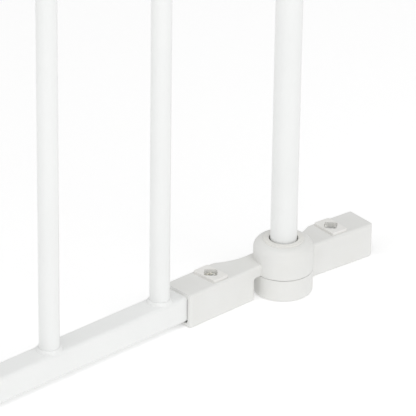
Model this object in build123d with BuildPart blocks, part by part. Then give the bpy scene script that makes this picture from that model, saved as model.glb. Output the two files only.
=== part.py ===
from build123d import *
import math
import os

# One hinged section of a modular metal safety gate.
# Frame: millimetres, +Z up, +X along the panel towards its hinge end, -Y the front of the panel.
# The origin is on the hinge axis, at the underside of the lower free arm. The hinge axis lies in
# the plane of the arms' front faces, so that two neighbouring sections can fold face to face.

# ---- driving dimensions, mm ------------------------------------------------------------------
section_height = 725.0      # underside of the lower arms to the top of the upper arms

bar_diameter = 10.0
bar_wall = 1.0
bar_pitch = 71.0            # leaves a 61 mm gap, inside the 45 to 65 mm that gate standards allow
bar_count = 9
bar_to_mouth = 12.0         # outermost bars to the mouths of the sleeves over the rail's ends

rail_size = 13.5            # square tube
rail_wall = 1.2
rail_corner = 1.8

weld_leg = 1.2              # fillet weld around both ends of every bar

post_diameter = 13.3
post_wall = 1.2

sleeve_wall = 2.0           # both sides
sleeve_roof = 1.9
sleeve_floor = 2.1
sleeve_side_gap = 0.45      # each side of the rail
sleeve_drop_gap = 0.9       # under the rail, which is held up against the roof
sleeve_end_gap = 0.5        # between a rail's end and the blind end of its sleeve
sleeve_end_wall = 14.5      # notch wall to the blind end of either sleeve
panel_sleeve_depth = 29.0
free_sleeve_depth = 24.3

free_arm_turn = 5.6         # degrees that the free arms are turned towards the front at rest
arm_edge = 1.2              # rounding of the arms' long edges
mouth_round = 1.6           # rounding of the free sleeve's lower lip

bush_wall = 1.9
bush_flange_width = 1.6
bush_flange_thickness = 0.6
bush_mouth_radial = 0.7     # visible gap around the post in the mouth of the bush
bush_mouth_depth = 3.0

ring_wall = 6.4             # around the bush
lower_ring_height = 11.8
upper_ring_height = 15.8
ring_gap = 0.3              # between the two rings, mostly filled by the thrust washer
ring_top_round = 4.5
ring_bottom_round = 1.5
ring_floor = 3.0            # closed end of the free arm's ring, under the post
notch_gap = 4.5             # between a ring and the wall of the other arm's notch
notch_corner = 0.5          # upright edges of the notch wall
notch_root_round = 1.2      # between the notch wall and the neck
notch_lip_round = 1.0       # far edge of the notch wall

neck_inset = 2.0            # how far the neck's back lies inside the ring's radius
neck_straight = 2.5         # straight stretch of the neck's back that ends this far inside the ring's radius
neck_shoulder_gap = 3.4     # blind end of the sleeve to where the neck has swept out to the full depth
neck_shoulder_round = 6.0
neck_ring_blend = 6.0
ring_cover = 0.6            # how far the neck's blank stays inside the ring that covers it

washer_width = 4.0
washer_thickness = 0.25

block_length = 9.5          # along the arm
block_margin = 1.7          # from the block to either side of the arm
block_rise = 1.5            # above the arm's roof
block_sink = 0.7            # into the arm's roof
block_corner = 0.8
block_edge = 0.3
panel_block_inset = 6.8     # blind end to the middle of the panel arm's screw block
free_block_inset = 4.2      # blind end to the middle of the free arm's screw block
block_lobe_radius = 1.25
block_lobe_offset = 2.9
screw_hole_radius = 3.4     # through the block and the arm's roof

screw_head_radius = 3.25
screw_head_height = 2.6
screw_head_round = 0.6
screw_slot_length = 4.9
screw_slot_width = 1.1
screw_slot_depth = 1.3
screw_slot_turn = 45.0      # degrees from the arm's length to the first slot
screw_length = 9.0
thread_radius = 1.85        # M4 thread, drawn at its mean radius
thread_clearance = 0.03

nut_size = 7.0
nut_thickness = 3.2
nut_corner = 0.6
rail_hole_radius = 2.2

running_clearance = 0.05    # post in bush, radial
press_clearance = 0.01      # pressed parts of one body, radial
seat_clearance = 0.1        # block in its recess, each side
cut_past = 1.0              # how far a cut runs on beyond the surface it opens
size_match = 0.01           # how closely an edge matches a size to be picked by it

# ---- places worked out from the driving dimensions ------------------------------------------------
arm_depth = rail_size + 2 * (sleeve_side_gap + sleeve_wall)
arm_height = sleeve_floor + sleeve_drop_gap + rail_size + sleeve_roof
rail_y = arm_depth / 2
rail_bottom = sleeve_floor + sleeve_drop_gap
rail_top = rail_bottom + rail_size

post_radius = post_diameter / 2
bush_bore = post_radius + running_clearance
bush_radius = bush_bore + bush_wall
ring_radius = bush_radius + ring_wall
upper_ring_bottom = lower_ring_height + ring_gap
upper_ring_top = upper_ring_bottom + upper_ring_height

notch_wall = ring_radius + notch_gap
sleeve_blind_end = notch_wall + sleeve_end_wall
shoulder_x = sleeve_blind_end - neck_shoulder_gap
neck_depth = ring_radius - neck_inset
neck_curve_x = ring_radius - neck_straight
panel_arm_length = sleeve_blind_end + panel_sleeve_depth
free_arm_length = sleeve_blind_end + free_sleeve_depth

block_width = arm_depth - 2 * block_margin
block_top = arm_height + block_rise
block_bottom = arm_height - block_sink
panel_block_offset = sleeve_blind_end + panel_block_inset
free_block_offset = sleeve_blind_end + free_block_inset

bar_radius = bar_diameter / 2
bar_xs = [-panel_arm_length - bar_to_mouth - bar_pitch * index for index in range(bar_count)]
next_axis_x = bar_xs[-1] - bar_to_mouth - free_arm_length
rail_near_end = -sleeve_blind_end - sleeve_end_gap
rail_far_end = next_axis_x + sleeve_blind_end + sleeve_end_gap
panel_screw_x = -panel_block_offset
far_screw_x = next_axis_x + free_block_offset

mid_height = Plane.XY.offset(section_height / 2)

os.makedirs("parts", exist_ok=True)


def save(part, name):
    """Label a finished piece and write it as its own STEP file."""
    part.label = name
    export_step(part, f"parts/{name}.step")


def mirrored_to_top(part):
    """The same moulding for the upper hinge: a mirror image about the section's middle height."""
    with BuildPart() as copy:
        mirror(part, about=mid_height)
    return copy.part


def turned_with_free_arm(part):
    """A piece drawn along +X, turned about the hinge axis to where the free arm stands."""
    with BuildPart() as turned:
        add(part.rotate(Axis.Z, -free_arm_turn))
    return turned.part


def save_pair(part, name):
    """Write the lower hinge's piece and its mirror image for the upper hinge."""
    save(part, f"bottom_{name}")
    save(mirrored_to_top(part), f"top_{name}")


# ---- welded panel -------------------------------------------------------------------------------
def rail():
    """Lower rail: square tube with a screw hole in its roof near each end."""
    with BuildPart() as tube:
        with BuildSketch(Plane(origin=(rail_far_end, rail_y, rail_bottom + rail_size / 2), z_dir=(1, 0, 0))):
            RectangleRounded(rail_size, rail_size, rail_corner)
            offset(amount=-rail_wall, mode=Mode.SUBTRACT)
        extrude(amount=rail_near_end - rail_far_end)
        with BuildSketch(Plane.XY.offset(rail_top)):
            with Locations((panel_screw_x, rail_y), (far_screw_x, rail_y)):
                Circle(rail_hole_radius)
        extrude(amount=-rail_wall - cut_past, mode=Mode.SUBTRACT)
    return tube.part


def bar(x):
    """Upright round tube between the two rails."""
    with BuildPart() as tube:
        with BuildSketch(Plane(origin=(x, rail_y, rail_top))):
            Circle(bar_radius)
            Circle(bar_radius - bar_wall, mode=Mode.SUBTRACT)
        extrude(amount=section_height - 2 * rail_top)
    return tube.part


def weld_beads():
    """Fillet welds around the feet of all the bars."""
    with BuildPart() as bead:
        with BuildSketch(Plane.XZ):
            with BuildLine():
                Polyline((bar_radius, 0), (bar_radius + weld_leg, 0), (bar_radius, weld_leg), close=True)
            make_face()
        revolve(axis=Axis.Z)
    with BuildPart() as beads:
        with Locations(*[(x, rail_y, rail_top) for x in bar_xs]):
            add(bead.part)
    return beads.part


def nut(x):
    """Square nut inside the rail, up against its roof."""
    with BuildPart() as square:
        with BuildSketch(Plane(origin=(x, rail_y, rail_top - rail_wall - nut_thickness))):
            RectangleRounded(nut_size, nut_size, nut_corner)
            Circle(thread_radius + thread_clearance, mode=Mode.SUBTRACT)
        extrude(amount=nut_thickness)
    return square.part


# ---- hinge arms ---------------------------------------------------------------------------------
def arm_blank(length, lip_round):
    """Solid arm along +X with its hollowed neck and the full disc of the ring, long edges rounded."""
    with BuildPart() as blank:
        with BuildSketch() as plan:
            with BuildLine():
                TangentArc((neck_curve_x, neck_depth), (shoulder_x, arm_depth), tangent=(1, 0))
                Polyline(
                    (shoulder_x, arm_depth), (length, arm_depth), (length, 0),
                    (0, 0), (0, neck_depth), (neck_curve_x, neck_depth),
                )
            make_face()
            fillet(plan.vertices().sort_by_distance((shoulder_x, arm_depth))[0], neck_shoulder_round)
            Circle(ring_radius - ring_cover)
            ring_side = plan.vertices().filter_by(lambda point: point.X < neck_curve_x - size_match)
            fillet(ring_side.sort_by(Axis.Y)[-1], neck_ring_blend)
        extrude(amount=arm_height)
        mouth_edges = blank.faces().sort_by(Axis.X)[-1].edges().filter_by(Axis.Y)
        fillet(mouth_edges.sort_by(Axis.Z)[0], lip_round)
        rims = blank.faces().filter_by(Axis.Z).edges()
        fillet(rims.filter_by(Axis.Y, reverse=True), arm_edge)
    return blank.part


def ring_profile(bottom, top, rounded_corner_z, round_radius):
    """Half section of a solid ring blank about the hinge axis, with one outer corner rounded."""
    with BuildSketch(Plane.XZ, mode=Mode.PRIVATE) as profile:
        with BuildLine():
            Polyline((0, bottom), (ring_radius, bottom), (ring_radius, top), (0, top), close=True)
        make_face()
        fillet(vertices().sort_by_distance((ring_radius, rounded_corner_z))[0], round_radius)
    return profile.sketch


def cut_notch(root, lip):
    """Clear the arm around the other arm's ring, from the neck's face to the arm's outer face."""
    with BuildSketch(Plane.XY.offset(root), mode=Mode.PRIVATE) as clearing:
        with Locations((notch_wall, 0)):
            Rectangle(2 * notch_wall, 2 * (ring_radius + arm_depth), align=(Align.MAX, Align.CENTER))
    reach = lip - root
    extrude(clearing.sketch, amount=reach + math.copysign(cut_past, reach), mode=Mode.SUBTRACT)
    for height, rounding in ((root, notch_root_round), (lip, notch_lip_round)):
        level_edges = edges().filter_by(Axis.Y).filter_by_position(
            Axis.X, notch_wall - size_match, notch_wall + size_match
        )
        fillet(level_edges.filter_by_position(Axis.Z, height - size_match, height + size_match), rounding)


def cut_sleeve(length):
    """Blind square socket for a rail, from the arm's mouth inwards."""
    cavity = Plane(origin=(length, rail_y, (sleeve_floor + rail_top) / 2), z_dir=(1, 0, 0))
    with BuildSketch(cavity, mode=Mode.PRIVATE) as socket:
        RectangleRounded(rail_size + 2 * sleeve_side_gap, rail_top - sleeve_floor, rail_corner)
    extrude(socket.sketch, amount=sleeve_blind_end - length, mode=Mode.SUBTRACT)


def cut_block_seat(offset_x):
    """Recess in the roof for the screw block, with the screw's hole through to the sleeve."""
    with BuildSketch(Plane(origin=(offset_x, rail_y, block_bottom)), mode=Mode.PRIVATE) as seat:
        RectangleRounded(
            block_length + 2 * seat_clearance,
            block_width + 2 * seat_clearance,
            block_corner + seat_clearance,
        )
    extrude(seat.sketch, amount=block_sink + cut_past, mode=Mode.SUBTRACT)
    with BuildSketch(Plane(origin=(offset_x, rail_y, arm_height)), mode=Mode.PRIVATE) as screw_hole:
        Circle(screw_hole_radius)
    extrude(screw_hole.sketch, amount=-sleeve_roof - cut_past, mode=Mode.SUBTRACT)


def panel_arm():
    """Arm over the panel's rail: full height up to the notch, then a neck to the upper ring."""
    with BuildPart() as arm:
        add(arm_blank(panel_arm_length, arm_edge))
        cut_notch(upper_ring_bottom, 0)
        revolve(ring_profile(upper_ring_bottom, upper_ring_top, upper_ring_top, ring_top_round), axis=Axis.Z)
        cut_sleeve(panel_arm_length)
        cut_block_seat(panel_block_offset)
        with BuildSketch(Plane.XY.offset(upper_ring_bottom)):
            Circle(bush_radius + press_clearance)
        extrude(amount=upper_ring_height, mode=Mode.SUBTRACT)
    with BuildPart() as flipped:
        mirror(arm.part, about=Plane.YZ)
    return flipped.part


def free_arm():
    """Arm for the next section's rail, with the closed lower ring that carries the post."""
    with BuildPart() as arm:
        add(arm_blank(free_arm_length, mouth_round))
        cut_notch(lower_ring_height, arm_height)
        revolve(ring_profile(0, lower_ring_height, 0, ring_bottom_round), axis=Axis.Z)
        cut_sleeve(free_arm_length)
        cut_block_seat(free_block_offset)
        with BuildSketch(Plane.XY.offset(ring_floor)):
            Circle(post_radius + press_clearance)
        extrude(amount=lower_ring_height, mode=Mode.SUBTRACT)
    return turned_with_free_arm(arm.part)


def screw_block(offset_x):
    """Rectangular pad let into the roof, with a four-lobed opening around the screw head."""
    with BuildPart() as block:
        with BuildSketch(Plane(origin=(offset_x, rail_y, block_bottom))):
            RectangleRounded(block_length, block_width, block_corner)
            Circle(screw_hole_radius, mode=Mode.SUBTRACT)
            with PolarLocations(block_lobe_offset, 4):
                Circle(block_lobe_radius, mode=Mode.SUBTRACT)
        extrude(amount=block_top - block_bottom)
        fillet(block.faces().sort_by(Axis.Z)[-1].outer_wire().edges(), block_edge)
    return block.part


def panel_screw():
    """Cross-slotted screw: its head stands on the rail and pins the arm through the hole in its roof."""
    with BuildPart() as screw:
        with BuildSketch(Plane(origin=(panel_screw_x, rail_y, rail_top))):
            Circle(screw_head_radius)
        extrude(amount=screw_head_height)
        fillet(screw.faces().sort_by(Axis.Z)[-1].edges(), screw_head_round)
        with BuildSketch(Plane(origin=(panel_screw_x, rail_y, rail_top))):
            Circle(thread_radius)
        extrude(amount=-screw_length)
        with BuildSketch(Plane(origin=(panel_screw_x, rail_y, rail_top + screw_head_height))):
            for turn in (screw_slot_turn, screw_slot_turn + 90):
                SlotOverall(screw_slot_length, screw_slot_width, rotation=turn)
        extrude(amount=-screw_slot_depth, mode=Mode.SUBTRACT)
    return screw.part


# ---- hinge post and its bearings ------------------------------------------------------------------
def hinge_post():
    """Round tube pressed into both free arms, standing on the closed ends of their rings."""
    with BuildPart() as post:
        with BuildSketch(Plane.XY.offset(ring_floor)):
            Circle(post_radius)
            Circle(post_radius - post_wall, mode=Mode.SUBTRACT)
        extrude(amount=section_height - 2 * ring_floor)
    return post.part


def post_bush():
    """Flanged bush in the upper ring, with a wider mouth around the post."""
    flange_radius = bush_radius + bush_flange_width
    with BuildPart() as bush:
        with BuildSketch(Plane.XY.offset(upper_ring_bottom)):
            Circle(bush_radius)
        extrude(amount=upper_ring_height)
        with BuildSketch(Plane.XY.offset(upper_ring_top)):
            Circle(flange_radius)
        extrude(amount=bush_flange_thickness)
        fillet(bush.faces().sort_by(Axis.Z)[-1].edges(), bush_flange_thickness / 2)
        with BuildSketch(Plane.XY.offset(upper_ring_bottom)):
            Circle(bush_bore)
        extrude(amount=upper_ring_height + bush_flange_thickness, mode=Mode.SUBTRACT)
        with BuildSketch(Plane.XY.offset(upper_ring_top + bush_flange_thickness)):
            Circle(post_radius + bush_mouth_radial)
        extrude(amount=-bush_mouth_depth, mode=Mode.SUBTRACT)
    return bush.part


def thrust_washer():
    """Thin washer that carries the upper ring on the lower one."""
    with BuildPart() as washer:
        with BuildSketch(Plane.XY.offset(lower_ring_height)):
            Circle(post_radius + washer_width)
            Circle(post_radius + press_clearance, mode=Mode.SUBTRACT)
        extrude(amount=washer_thickness)
    return washer.part


# ---- write every piece ------------------------------------------------------------------------------
lower_rail = rail()
save(lower_rail, "bottom_rail")
save(mirrored_to_top(lower_rail), "top_rail")
for number, x in enumerate(bar_xs, start=1):
    save(bar(x), f"bar_{number}")
save_pair(weld_beads(), "weld_beads")
save_pair(nut(panel_screw_x), "panel_nut")
save_pair(nut(far_screw_x), "far_nut")

save_pair(panel_arm(), "panel_arm")
with BuildPart() as panel_block:
    mirror(screw_block(panel_block_offset), about=Plane.YZ)
save_pair(panel_block.part, "panel_screw_block")
save_pair(panel_screw(), "panel_screw")
save_pair(post_bush(), "post_bush")

save(hinge_post(), "hinge_post")
save_pair(free_arm(), "free_arm")
save_pair(turned_with_free_arm(screw_block(free_block_offset)), "free_screw_block")
save_pair(thrust_washer(), "thrust_washer")
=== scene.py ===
"""Hinged section of a modular metal safety gate: finishes, welds, screws, studio and camera.

The section stands on the floor with its hinge post upright at the origin, the welded panel
reaching out along -X and the two empty hinge arms along +X. Everything is in metres.
"""

import logging
import math
from dataclasses import dataclass, field
from enum import Enum
from typing import Any, Callable

import bmesh
import bpy
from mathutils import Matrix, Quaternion, Vector, noise


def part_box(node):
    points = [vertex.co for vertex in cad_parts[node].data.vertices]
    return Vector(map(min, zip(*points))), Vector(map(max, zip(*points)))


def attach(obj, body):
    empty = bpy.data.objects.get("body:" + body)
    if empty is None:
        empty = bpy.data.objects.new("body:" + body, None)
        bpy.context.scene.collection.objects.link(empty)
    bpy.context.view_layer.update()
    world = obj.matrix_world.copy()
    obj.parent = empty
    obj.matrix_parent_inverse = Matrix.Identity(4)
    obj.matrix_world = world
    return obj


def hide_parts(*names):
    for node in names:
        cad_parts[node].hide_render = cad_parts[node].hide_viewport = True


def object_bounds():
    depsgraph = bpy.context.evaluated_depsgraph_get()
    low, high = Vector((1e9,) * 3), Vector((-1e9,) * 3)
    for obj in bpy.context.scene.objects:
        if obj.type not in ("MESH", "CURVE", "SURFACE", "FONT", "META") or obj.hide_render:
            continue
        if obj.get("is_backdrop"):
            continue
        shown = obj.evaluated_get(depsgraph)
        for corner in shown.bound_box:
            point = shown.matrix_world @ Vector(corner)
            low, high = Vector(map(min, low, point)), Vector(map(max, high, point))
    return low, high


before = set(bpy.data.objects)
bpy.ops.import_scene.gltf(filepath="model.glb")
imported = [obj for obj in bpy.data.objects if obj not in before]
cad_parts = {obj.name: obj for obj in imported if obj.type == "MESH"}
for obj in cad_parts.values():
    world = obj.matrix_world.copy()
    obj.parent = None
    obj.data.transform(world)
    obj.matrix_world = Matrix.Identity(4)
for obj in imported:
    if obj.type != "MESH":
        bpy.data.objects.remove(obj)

LOG = logging.getLogger("gate_section")
MM = 0.001
TONE_SPREAD = (0.3, 0.7)    # stretch of a noise texture over which one tone turns into the other


class Level(Enum):
    """Which of the section's two hinges a piece belongs to, with the way its free side faces."""

    BOTTOM = ("bottom", 1.0)
    TOP = ("top", -1.0)

    def node(self, piece: str) -> str:
        """Name of this level's CAD node for a piece."""
        return f"{self.value[0]}_{piece}"

    @property
    def up(self) -> float:
        """+1 where the piece is built upwards from its rail, -1 where it hangs down."""
        return self.value[1]


class Body(Enum):
    """The two bodies that the hinge joins."""

    PANEL = "panel"
    FREE_ARMS = "free_arms"


# ---- colours and node building -------------------------------------------------------------------
def linear(hex_colour: str) -> tuple[float, float, float, float]:
    """Turn an sRGB hex colour into a linear RGBA value.

    Args:
        hex_colour: Six hex digits with a leading hash.

    Returns:
        Red, green, blue and an alpha of one.
    """
    parts = [int(hex_colour[i:i + 2], 16) / 255 for i in (1, 3, 5)]
    scene_linear = [c / 12.92 if c <= 0.04045 else ((c + 0.055) / 1.055) ** 2.4 for c in parts]
    return (*scene_linear, 1.0)


def per_metre(feature_mm: float) -> float:
    """Texture scale at which one feature is the given number of millimetres across."""
    return 1.0 / (feature_mm * MM)


def add_node(tree: bpy.types.NodeTree, kind: str, inputs: dict[str, Any] | None = None,
             **settings: Any) -> bpy.types.Node:
    """Add a node, set its properties, and fill its inputs with values or links.

    Args:
        tree: The node tree to add to.
        kind: The node's Blender type.
        inputs: Socket names with plain values, or with sockets to link from.
        **settings: Properties of the node itself.

    Returns:
        The new node.
    """
    node = tree.nodes.new(kind)
    for name, value in settings.items():
        setattr(node, name, value)
    for name, value in (inputs or {}).items():
        if isinstance(value, bpy.types.NodeSocket):
            tree.links.new(value, node.inputs[name])
        else:
            node.inputs[name].default_value = value
    return node


# ---- finishes --------------------------------------------------------------------------------------
@dataclass(frozen=True)
class CoatedOrMoulded:
    """An opaque white surface: two close tones that drift over it, and a fine relief.

    Polyester powder flows out in the oven into low waves (orange peel), and a mould's spark-eroded
    wall leaves a fine grain. Both are too low to see as shape and only break up the reflections.
    """

    name: str
    light: str
    shade: str
    drift_mm: float
    relief_mm: float
    relief_height_mm: float
    roughness: float
    roughness_drift: float
    ior: float

    def make(self) -> bpy.types.Material:
        """Build the material.

        Returns:
            The finished material.
        """
        material = bpy.data.materials.new(self.name)
        material.use_nodes = True
        tree = material.node_tree
        tree.nodes.clear()
        where = add_node(tree, "ShaderNodeTexCoord").outputs["Object"]
        drift = add_node(tree, "ShaderNodeTexNoise",
                         {"Vector": where, "Scale": per_metre(self.drift_mm), "Detail": 3.0})
        tone = add_tone(tree, drift, self.shade, self.light)
        gloss = add_node(tree, "ShaderNodeMapRange", {
            "Value": drift.outputs["Fac"],
            "To Min": self.roughness - self.roughness_drift,
            "To Max": self.roughness + self.roughness_drift,
        })
        relief = add_node(tree, "ShaderNodeTexNoise",
                          {"Vector": where, "Scale": per_metre(self.relief_mm), "Detail": 2.0})
        bump = add_node(tree, "ShaderNodeBump",
                        {"Height": relief.outputs["Fac"], "Distance": self.relief_height_mm * MM})
        shader = add_node(tree, "ShaderNodeBsdfPrincipled", {
            "Base Color": tone, "Roughness": gloss.outputs["Result"],
            "IOR": self.ior, "Normal": bump.outputs["Normal"],
        })
        add_node(tree, "ShaderNodeOutputMaterial", {"Surface": shader.outputs["BSDF"]})
        return material


def add_tone(tree: bpy.types.NodeTree, texture: bpy.types.Node, dark: str,
             pale: str) -> bpy.types.NodeSocket:
    """Blend two colours by a noise texture.

    Args:
        tree: The node tree to add to.
        texture: The noise node that drives the blend.
        dark: Hex colour where the noise is low.
        pale: Hex colour where the noise is high.

    Returns:
        The blended colour's socket.
    """
    ramp = add_node(tree, "ShaderNodeValToRGB", {"Fac": texture.outputs["Fac"]})
    low, high = ramp.color_ramp.elements
    low.position, high.position = TONE_SPREAD
    low.color, high.color = linear(dark), linear(pale)
    return ramp.outputs["Color"]


@dataclass(frozen=True)
class ZincPlate:
    """Bright zinc plate on turned steel: rings left by the lathe and a faint straw-to-blue cast."""

    name: str
    straw: str = "#D8D5CB"
    blue: str = "#CCD2D6"
    cast_mm: float = 2.5
    turning_mm: float = 0.3     # real marks are about 0.1 mm apart; drawn coarser so that they show
    turning_height_mm: float = 0.004
    roughness: float = 0.2

    def make(self) -> bpy.types.Material:
        """Build the material.

        Returns:
            The finished material.
        """
        material = bpy.data.materials.new(self.name)
        material.use_nodes = True
        tree = material.node_tree
        tree.nodes.clear()
        where = add_node(tree, "ShaderNodeTexCoord").outputs["Object"]
        cast = add_node(tree, "ShaderNodeTexNoise", {"Vector": where, "Scale": per_metre(self.cast_mm)})
        marks = add_node(tree, "ShaderNodeTexNoise",
                         {"Vector": where, "Scale": per_metre(self.turning_mm), "Detail": 1.0})
        bump = add_node(tree, "ShaderNodeBump",
                        {"Height": marks.outputs["Fac"], "Distance": self.turning_height_mm * MM})
        shader = add_node(tree, "ShaderNodeBsdfPrincipled", {
            "Base Color": add_tone(tree, cast, self.straw, self.blue), "Metallic": 1.0,
            "Roughness": self.roughness, "Normal": bump.outputs["Normal"],
        })
        add_node(tree, "ShaderNodeOutputMaterial", {"Surface": shader.outputs["BSDF"]})
        return material


# Polyester powder coat, sprayed on steel tube and stoved: satin, clean cool white, low waves.
POWDER_COAT = CoatedOrMoulded(
    name="satin_powder_coat", light="#F1F2F1", shade="#EEEFEE", drift_mm=45.0,
    relief_mm=1.6, relief_height_mm=0.012, roughness=0.34, roughness_drift=0.03, ior=1.5,
)
# The same coat pulls thin over a weld's ripples and takes up a little more texture there.
COATED_WELD = CoatedOrMoulded(
    name="powder_coated_weld", light="#F1F2F1", shade="#EDEEED", drift_mm=4.0,
    relief_mm=0.9, relief_height_mm=0.02, roughness=0.36, roughness_drift=0.04, ior=1.5,
)
# Polypropylene moulded in a spark-eroded tool: matt, slightly warm and slightly darker white.
MOULDED_ARM = CoatedOrMoulded(
    name="spark_textured_polypropylene", light="#E9E9E7", shade="#E6E6E3", drift_mm=18.0,
    relief_mm=0.45, relief_height_mm=0.008, roughness=0.5, roughness_drift=0.04, ior=1.49,
)
# Polypropylene moulded against a polished insert: smoother, so it looks a shade whiter.
MOULDED_BLOCK = CoatedOrMoulded(
    name="smooth_polypropylene", light="#F0EFEC", shade="#ECEBE7", drift_mm=6.0,
    relief_mm=0.8, relief_height_mm=0.005, roughness=0.38, roughness_drift=0.03, ior=1.49,
)
# Acetal, the usual bearing plastic: dense and waxy, with a soft gloss.
ACETAL = CoatedOrMoulded(
    name="moulded_acetal", light="#EBEAE6", shade="#E6E5E0", drift_mm=8.0,
    relief_mm=0.8, relief_height_mm=0.004, roughness=0.32, roughness_drift=0.03, ior=1.48,
)
ZINC = ZincPlate(name="bright_zinc_plate")
DULL_ZINC = ZincPlate(name="barrel_zinc_plate", straw="#B9B6AC", blue="#AEB3B5", roughness=0.38)


# ---- meshes ----------------------------------------------------------------------------------------
@dataclass
class MeshDraft:
    """Points and faces of one piece, gathered ring by ring."""

    points: list[Vector] = field(default_factory=list)
    faces: list[tuple[int, ...]] = field(default_factory=list)

    def skin(self, rings: list[list[Vector]], wraps: bool) -> None:
        """Join successive rings of points with faces.

        Args:
            rings: Rings of the same number of points each.
            wraps: True joins the last ring to the first, False closes both ends with fans.
        """
        start, count = len(self.points), len(rings[0])
        self.points += [point for ring in rings for point in ring]
        for row in range(len(rings) if wraps else len(rings) - 1):
            a = start + row * count
            b = start + (row + 1) % len(rings) * count
            self.faces += [(a + i, a + (i + 1) % count, b + (i + 1) % count, b + i) for i in range(count)]
        if not wraps:
            for ring, first in ((rings[0], start), (rings[-1], start + (len(rings) - 1) * count)):
                self.points.append(sum(ring, Vector()) / count)
                pole = len(self.points) - 1
                self.faces += [(first + i, first + (i + 1) % count, pole) for i in range(count)]

    def finish(self, name: str) -> bpy.types.Object:
        """Make a smooth-shaded object of the draft, with its faces turned outwards.

        Args:
            name: The piece's name.

        Returns:
            The new object, linked to the scene.
        """
        mesh = bpy.data.meshes.new(name)
        mesh.from_pydata(self.points, [], self.faces)
        work = bmesh.new()
        work.from_mesh(mesh)
        bmesh.ops.recalc_face_normals(work, faces=work.faces)
        work.to_mesh(mesh)
        work.free()
        mesh.shade_smooth()
        piece = bpy.data.objects.new(name, mesh)
        bpy.context.scene.collection.objects.link(piece)
        return piece


def dress(names: list[str], material: bpy.types.Material) -> None:
    """Give CAD nodes their finish.

    Args:
        names: The nodes.
        material: Their material.
    """
    for name in names:
        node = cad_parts[name]
        if not node.material_slots:
            node.data.materials.append(material)
        for slot in node.material_slots:
            slot.material = material
        LOG.info("dressed %s with %s", name, material.name)


def place(piece: bpy.types.Object, material: bpy.types.Material, body: Body, node: str) -> None:
    """Finish a new piece and put it in a CAD node's stead.

    Args:
        piece: The new piece.
        material: Its material.
        body: The body that it rides on.
        node: The CAD node that it stands for.
    """
    piece.data.materials.append(material)
    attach(piece, body.value)
    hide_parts(node)
    LOG.info("built %s in place of %s", piece.name, node)


# ---- sub-assemblies ----------------------------------------------------------------------------------
@dataclass
class WeldRun:
    """One fillet weld around the foot of a bar, with the ripples of its separate puddles."""

    leg: float = 1.45 * MM
    leg_wander: float = 0.3 * MM
    crown: float = 0.16 * MM
    ripple_pitch: float = 1.3 * MM
    ripple_height: float = 0.07 * MM
    ripple_lag: float = 7.2     # how far a ripple's ends trail its middle, in radians at a full width
    crown_lean: float = 0.7     # share of the crown that goes outwards, and as much upwards
    wander_rate: float = 1.6
    rise_shift: tuple[float, float, float] = (9.0, 4.0, 2.0)    # so that both legs wander on their own
    bead_shift: float = 7.3     # from one bead to the next, so that no two are alike
    sunk: float = 0.15 * MM
    around: int = 120
    across: int = 9

    def section(self, angle: float, seed: float, radius: float,
                surface: Callable[[float], float]) -> list[tuple[float, float]]:
        """Closed cross-section of the bead at one angle around the bar.

        Args:
            angle: Angle around the bar's axis.
            seed: Number that makes each bead its own.
            radius: The bar's radius.
            surface: Height of the rail's surface at a distance from the bar's axis.

        Returns:
            Distances from the bar's axis with heights above the rail's flat.
        """
        here = Vector((math.cos(angle) * self.wander_rate, math.sin(angle) * self.wander_rate, seed))
        out = self.leg + self.leg_wander * noise.noise(here)
        rise = self.leg + self.leg_wander * noise.noise(here + Vector(self.rise_shift))
        puddles = round(2 * math.pi * radius / self.ripple_pitch)
        face = []
        for step in range(self.across):
            share = step / (self.across - 1)
            lag = self.ripple_lag * (share - 0.5) ** 2
            ripple = self.ripple_height * math.sin(puddles * angle + lag)
            swell = (self.crown + ripple) * math.sin(math.pi * share) * self.crown_lean
            distance = radius + out * share + swell
            face.append((distance, surface(distance) * share + rise * (1 - share) + swell))
        toe = face[-1][0]
        face.append((toe, surface(toe) - self.sunk))
        face.append((radius - self.sunk, -self.sunk))
        return face


@dataclass
class WeldedPanel:
    """Two square rails with the upright bars welded between them."""

    bar_count: int = 9
    rail_corner: float = 1.8 * MM
    weld: WeldRun = field(default_factory=WeldRun)

    def bars(self) -> list[str]:
        """Names of the bars' nodes, hinge end first."""
        return [f"bar_{number}" for number in range(1, self.bar_count + 1)]

    def build(self, coat: bpy.types.Material, weld_coat: bpy.types.Material) -> None:
        """Dress the tubes and run the welds.

        Args:
            coat: Finish of the rails and bars.
            weld_coat: Finish of the welds.
        """
        dress([level.node("rail") for level in Level] + self.bars(), coat)
        for level in Level:
            place(self.welds(level), weld_coat, Body.PANEL, level.node("weld_beads"))

    def welds(self, level: Level) -> bpy.types.Object:
        """Weld beads between one rail and all the bars.

        Args:
            level: The rail.

        Returns:
            One object that holds all nine beads.
        """
        rail_low, rail_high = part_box(level.node("rail"))
        middle = (rail_low.y + rail_high.y) / 2
        flat = (rail_high.y - rail_low.y) / 2 - self.rail_corner
        draft = MeshDraft()
        for number, name in enumerate(self.bars()):
            low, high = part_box(name)
            centre, radius = (low.x + high.x) / 2, (high.x - low.x) / 2
            seat = rail_high.z if level is Level.BOTTOM else rail_low.z
            rings = []
            for step in range(self.weld.around):
                angle = 2 * math.pi * step / self.weld.around
                along, aside = math.cos(angle), math.sin(angle)

                def surface(distance: float, aside: float = aside) -> float:
                    """Height of the rail's rounded shoulder below its flat, as a negative number."""
                    past = min(max(abs(distance * aside) - flat, 0.0), self.rail_corner)
                    return math.sqrt(self.rail_corner ** 2 - past ** 2) - self.rail_corner

                seed = self.weld.bead_shift * number + level.up
                section = self.weld.section(angle, seed, radius, surface)
                rings.append([
                    Vector((centre + along * out, middle + aside * out, seat + level.up * height))
                    for out, height in section
                ])
            draft.skin(rings, wraps=True)
        return draft.finish(level.node("rippled_weld_beads"))


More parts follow.
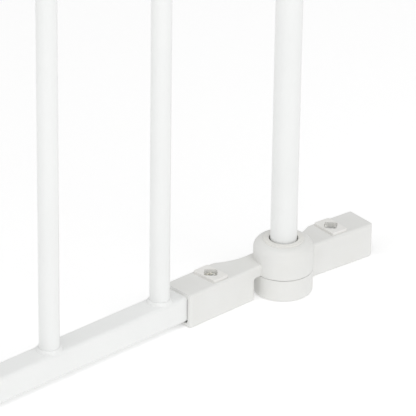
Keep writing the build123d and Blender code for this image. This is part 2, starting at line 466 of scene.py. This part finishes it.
@dataclass
class PanHeadScrew:
    """Cross-recessed pan head screw with a rolled thread."""

    head_height: float = 2.6 * MM
    dome: float = 0.45 * MM
    rim: float = 0.6 * MM
    recess_length: float = 4.6 * MM
    recess_width: float = 1.15 * MM
    recess_depth: float = 1.5 * MM
    recess_turn: float = 45.0
    recess_taper: float = 0.25      # share of its width that a slot loses towards its end
    recess_shelve: float = 0.6      # share of its depth that it loses
    recess_wall: float = 0.2 * MM
    recess_end: float = 0.15        # share of its length that the sloping end takes
    thread_radius: float = 1.85 * MM
    thread_depth: float = 0.32 * MM
    thread_pitch: float = 0.7 * MM
    tip: float = 0.8 * MM
    tip_taper: float = 0.55
    head_chamfer: float = 0.1 * MM
    dome_rows: int = 26
    rim_rows: int = 6
    rows_per_turn: int = 8
    around: int = 96

    def recess(self, x: float, y: float) -> float:
        """Depth of the tapered cross recess at a point of the head.

        Args:
            x: Distance from the screw's axis along X.
            y: Distance from the screw's axis along Y.

        Returns:
            The depth below the head's dome.
        """
        turn = math.radians(self.recess_turn)
        u = abs(x * math.cos(turn) + y * math.sin(turn))
        v = abs(y * math.cos(turn) - x * math.sin(turn))
        along, aside = max(u, v), min(u, v)
        reach = along / (self.recess_length / 2)
        half_width = self.recess_width / 2 * (1 - self.recess_taper * reach)
        wall = min(max((half_width - aside) / self.recess_wall, 0.0), 1.0)
        end = min(max((1 - reach) / self.recess_end, 0.0), 1.0)
        return self.recess_depth * (1 - self.recess_shelve * reach ** 2) * wall * end

    def outline(self, head_radius: float, length: float) -> list[tuple[float, float]]:
        """Half outline of the screw, from the middle of its head down to its tip.

        Args:
            head_radius: Radius of the head.
            length: From the top of the head to the tip.

        Returns:
            Radii with depths below the head's top.
        """
        flat = head_radius - self.rim
        steps = self.dome_rows
        rows = [(flat * i / steps, self.dome * (i / steps) ** 2) for i in range(1, steps + 1)]
        for i in range(1, self.rim_rows + 1):
            turn = math.pi / 2 * i / self.rim_rows
            rows.append((flat + self.rim * math.sin(turn), self.dome + self.rim * (1 - math.cos(turn))))
        rows.append((head_radius, self.head_height - self.head_chamfer))
        rows.append((head_radius - self.head_chamfer, self.head_height))
        rows.append((self.thread_radius, self.head_height))
        thread_end = length - self.tip
        turns = (thread_end - self.head_height) / self.thread_pitch
        count = round(self.rows_per_turn * turns)
        rows += [
            (self.thread_radius, self.head_height + (thread_end - self.head_height) * i / count)
            for i in range(1, count + 1)
        ]
        rows.append((self.tip_taper * self.thread_radius, length))
        return rows

    def build(self, name: str, node: str, up: float) -> bpy.types.Object:
        """Make the screw where its CAD node stands.

        Args:
            name: Name of the new piece.
            node: The CAD node.
            up: +1 where the head is on top, -1 where it is underneath.

        Returns:
            The new object.
        """
        low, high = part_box(node)
        centre = (low + high) / 2
        head_top = high.z if up > 0 else low.z
        length = high.z - low.z
        rings = []
        for radius, depth in self.outline((high.x - low.x) / 2, length):
            ring = []
            for step in range(self.around):
                angle = 2 * math.pi * step / self.around
                r, drop = radius, depth
                if self.head_height < depth < length:
                    wave = (depth / self.thread_pitch - step / self.around) % 1.0
                    r -= self.thread_depth * (1 - abs(2 * wave - 1))
                x, y = r * math.cos(angle), r * math.sin(angle)
                if depth < self.head_height / 2:
                    drop += self.recess(x, y)
                ring.append(Vector((centre.x + x, centre.y + y, head_top - up * drop)))
            rings.append(ring)
        draft = MeshDraft()
        draft.skin(rings, wraps=False)
        return draft.finish(name)


@dataclass
class HingeCorner:
    """One hinge: the panel's arm and the free arm with their blocks, bush, washer, screw and nuts."""

    level: Level
    screw: PanHeadScrew = field(default_factory=PanHeadScrew)

    def build(self, arm: bpy.types.Material, block: bpy.types.Material, bearing: bpy.types.Material,
              bright: bpy.types.Material, dull: bpy.types.Material) -> None:
        """Dress the hinge's pieces and make its screw.

        Args:
            arm: Finish of both arms.
            block: Finish of the screw blocks.
            bearing: Finish of the bush and the washer.
            bright: Finish of the screw.
            dull: Finish of the nuts.
        """
        dress([self.level.node("panel_arm"), self.level.node("free_arm")], arm)
        dress([self.level.node("panel_screw_block"), self.level.node("free_screw_block")], block)
        dress([self.level.node("post_bush"), self.level.node("thrust_washer")], bearing)
        dress([self.level.node("panel_nut"), self.level.node("far_nut")], dull)
        node = self.level.node("panel_screw")
        screw = self.screw.build(self.level.node("cross_recess_screw"), node, self.level.up)
        place(screw, bright, Body.PANEL, node)


@dataclass
class Softbox:
    """A square area light that looks at the hinge."""

    name: str
    azimuth: float
    elevation: float
    distance: float
    size: float
    power: float

    def build(self, target: Vector) -> None:
        """Set up the light.

        Args:
            target: The point that it faces.
        """
        lamp = bpy.data.lights.new(self.name, "AREA")
        lamp.size = self.size
        lamp.energy = self.power
        stand = bpy.data.objects.new(self.name, lamp)
        back = direction(self.azimuth, self.elevation)
        stand.location = target + back * self.distance
        stand.rotation_mode = "QUATERNION"
        stand.rotation_quaternion = (-back).to_track_quat("-Z", "Y")
        bpy.context.scene.collection.objects.link(stand)
        LOG.info("lit %s", self.name)


def direction(azimuth: float, elevation: float) -> Vector:
    """Unit vector from the object towards a viewer at this azimuth and elevation, in degrees."""
    a, e = math.radians(azimuth), math.radians(elevation)
    return Vector((math.sin(a) * math.cos(e), -math.cos(a) * math.cos(e), math.sin(e)))


@dataclass
class Studio:
    """White floor that glows a little, soft lights, and a long lens on the lower hinge."""

    target: Vector = field(default_factory=lambda: Vector((-43.3 * MM, 9.2 * MM, 56.08 * MM)))
    azimuth: float = -43.944
    elevation: float = 26.773
    roll: float = 0.804
    distance: float = 1732.3 * MM
    lens: float = 309.26
    sensor: float = 36.0
    sweep_size: float = 12.0
    sweep_tone: str = "#F4F4F4"
    sweep_roughness: float = 0.9
    sweep_glow: float = 0.24
    sky_glow: float = 0.61
    lights: tuple[Softbox, ...] = (
        Softbox("key_softbox", azimuth=-20.0, elevation=55.0, distance=1.9, size=1.8, power=14.2),
        Softbox("fill_softbox", azimuth=-95.0, elevation=20.0, distance=2.2, size=1.2, power=5.3),
    )

    def build(self) -> None:
        """Set up the sweep, the lights and the camera."""
        self.build_sweep()
        self.build_sky()
        for light in self.lights:
            light.build(self.target)
        self.build_camera()

    def build_sweep(self) -> None:
        """Plain pale floor of opal acrylic with light behind it, which keeps shadows faint."""
        low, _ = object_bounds()
        half = self.sweep_size / 2
        mesh = bpy.data.meshes.new("sweep")
        corners = [(-half, -half, low.z), (half, -half, low.z), (half, half, low.z), (-half, half, low.z)]
        mesh.from_pydata(corners, [], [(0, 1, 2, 3)])
        sweep = bpy.data.objects.new("sweep", mesh)
        bpy.context.scene.collection.objects.link(sweep)
        material = bpy.data.materials.new("opal_acrylic_sweep")
        material.use_nodes = True
        tree = material.node_tree
        tree.nodes.clear()
        shader = add_node(tree, "ShaderNodeBsdfPrincipled", {
            "Base Color": linear(self.sweep_tone), "Roughness": self.sweep_roughness,
            "Specular IOR Level": 0.0,
            "Emission Color": linear("#FFFFFF"), "Emission Strength": self.sweep_glow,
        })
        add_node(tree, "ShaderNodeOutputMaterial", {"Surface": shader.outputs["BSDF"]})
        mesh.materials.append(material)
        sweep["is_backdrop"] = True

    def build_sky(self) -> None:
        """Even white surround, as in a light tent."""
        world = bpy.data.worlds.new("light_tent")
        world.use_nodes = True
        tree = world.node_tree
        tree.nodes.clear()
        glow = add_node(tree, "ShaderNodeBackground",
                        {"Color": linear("#FFFFFF"), "Strength": self.sky_glow})
        add_node(tree, "ShaderNodeOutputWorld", {"Surface": glow.outputs["Background"]})
        bpy.context.scene.world = world

    def build_camera(self) -> None:
        """Long lens, rolled by under a degree, looking down on the hinge from the front left."""
        camera = bpy.data.cameras.new("camera")
        camera.lens = self.lens
        camera.sensor_width = self.sensor
        stand = bpy.data.objects.new("camera", camera)
        back = direction(self.azimuth, self.elevation)
        stand.location = self.target + back * self.distance
        stand.rotation_mode = "QUATERNION"
        tilt = Quaternion((0.0, 0.0, 1.0), math.radians(self.roll))
        stand.rotation_quaternion = (-back).to_track_quat("-Z", "Y") @ tilt
        bpy.context.scene.collection.objects.link(stand)
        bpy.context.scene.camera = stand
        bpy.context.scene.view_settings.view_transform = "Standard"


def main() -> None:
    """Finish the section, light it, and set up the camera."""
    logging.basicConfig(level=logging.INFO, format="%(message)s")
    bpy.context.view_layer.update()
    coat, bearing = POWDER_COAT.make(), ACETAL.make()
    WeldedPanel().build(coat, COATED_WELD.make())
    dress(["hinge_post"], coat)
    arm, block, bright, dull = MOULDED_ARM.make(), MOULDED_BLOCK.make(), ZINC.make(), DULL_ZINC.make()
    for level in Level:
        HingeCorner(level).build(arm, block, bearing, bright, dull)
    Studio().build()


if __name__ == "__main__":
    main()
